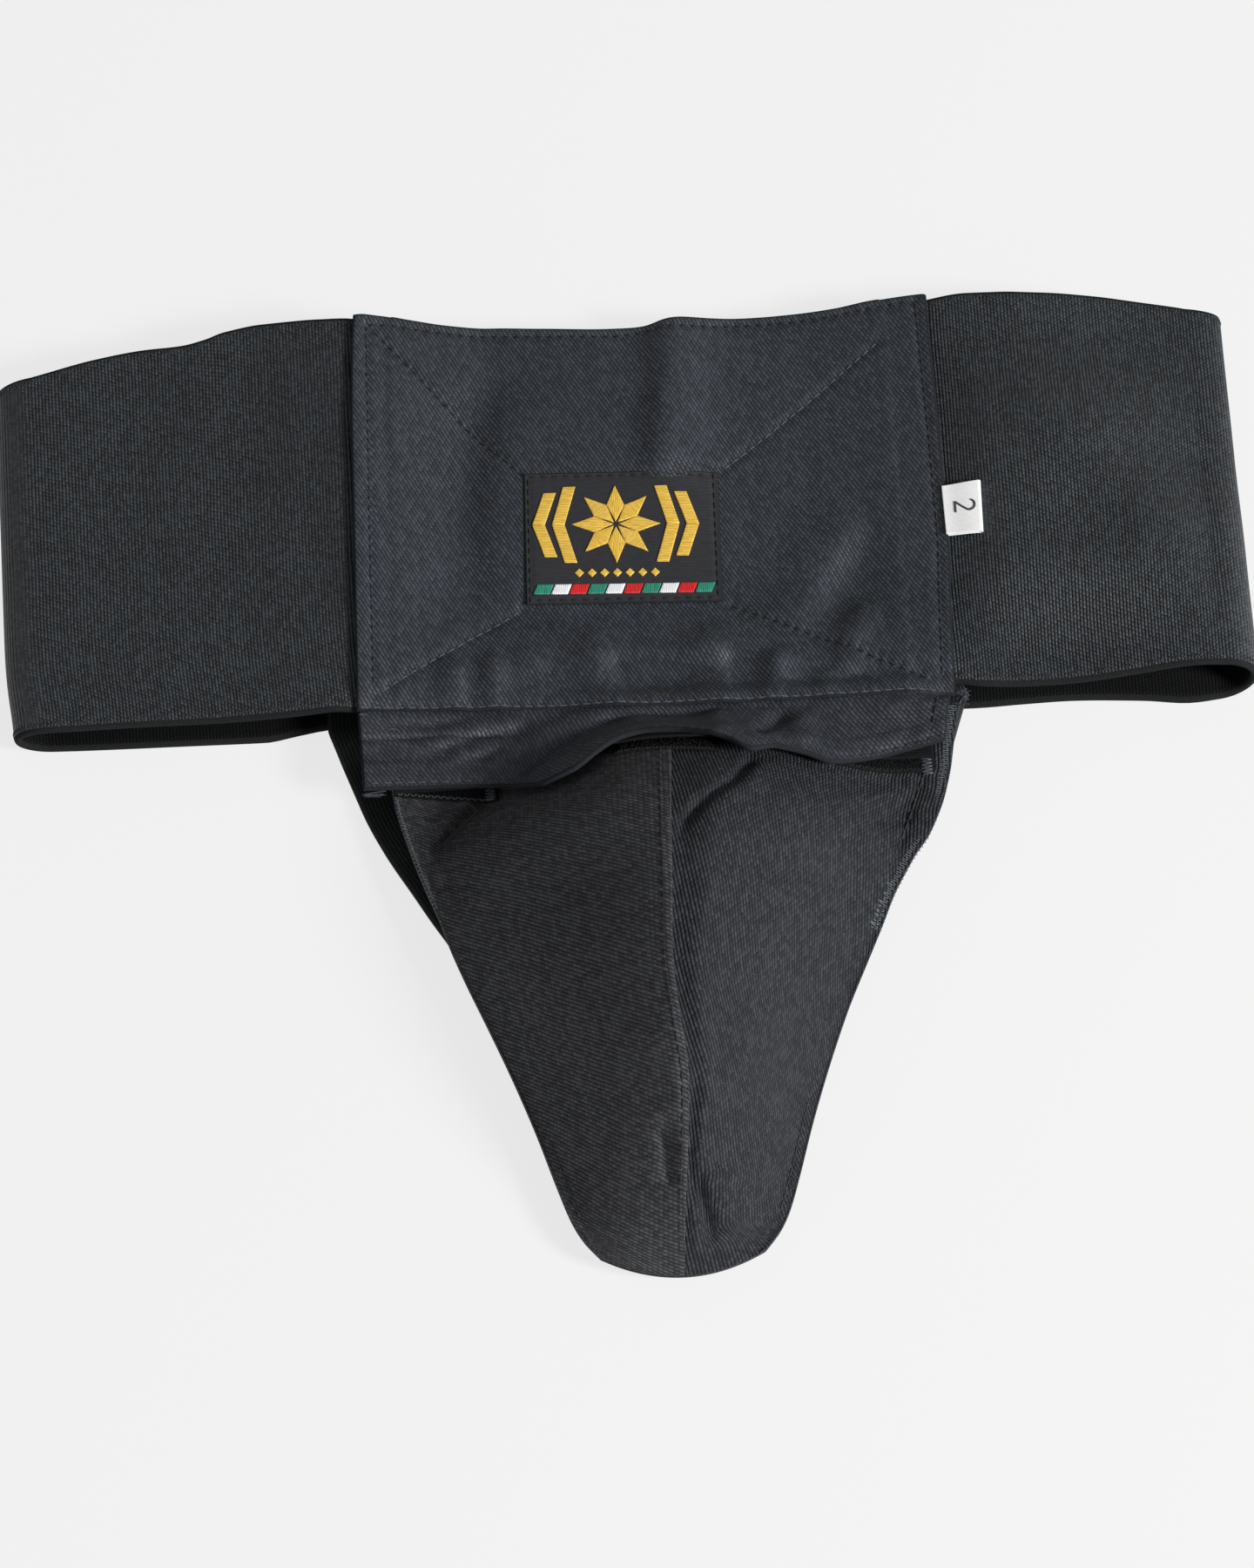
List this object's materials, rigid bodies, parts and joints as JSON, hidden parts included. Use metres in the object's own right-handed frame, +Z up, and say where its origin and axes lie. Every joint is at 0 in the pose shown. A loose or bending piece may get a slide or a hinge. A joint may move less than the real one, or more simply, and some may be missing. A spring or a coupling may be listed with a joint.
{
  "type": "groin protector",
  "caption": "Fabric groin guard with wide elastic waistband, domed pouch over a rigid cup, hook-and-loop closure flap and elastic leg straps, lying flat on its back.",
  "frame": {"origin": "on the flat back of the waistband, where it lies on the table, under the middle of the front panel", "axes": "+X along the waistband to its right end, +Y from the pouch towards the waistband, +Z up out of the pouch's dome"},
  "size_m": [0.3004, 0.2521, 0.0445],
  "materials": {
    "elastic": "matte ribbed knit",
    "panel_twill": "matte twill",
    "pouch_twill": "matte twill",
    "lining": "matte",
    "label_weave": "satin woven",
    "tag_satin": "satin",
    "hook_tape": "hooked pile",
    "loop_tape": "looped pile",
    "cup_plastic": "satin moulded",
    "bead_rubber": "matte"
  },
  "bodies": {
    "garment": {"waistband": "elastic", "front_panel": "panel_twill", "woven_label": "label_weave", "size_tag": "tag_satin", "pouch_loop_patch_left": "loop_tape", "pouch_loop_patch_centre": "loop_tape", "pouch_loop_patch_right": "loop_tape", "pouch_front_left": "pouch_twill", "pouch_front_right": "pouch_twill", "pouch_liner": "lining", "cup_shell": "cup_plastic", "cup_bead": "bead_rubber", "leg_strap_left": "elastic", "leg_strap_right": "elastic"},
    "flap": {"closure_flap": "panel_twill", "flap_hook_patch_left": "hook_tape", "flap_hook_patch_centre": "hook_tape", "flap_hook_patch_right": "hook_tape"}
  },
  "joints": [
    {"name": "flap_seam", "type": "hinge", "parent": "garment", "child": "flap", "pos_m": [0, -0.0573, 0.0145], "axis": [-1, 0, 0], "range_deg": [0, 130]}
  ]
}
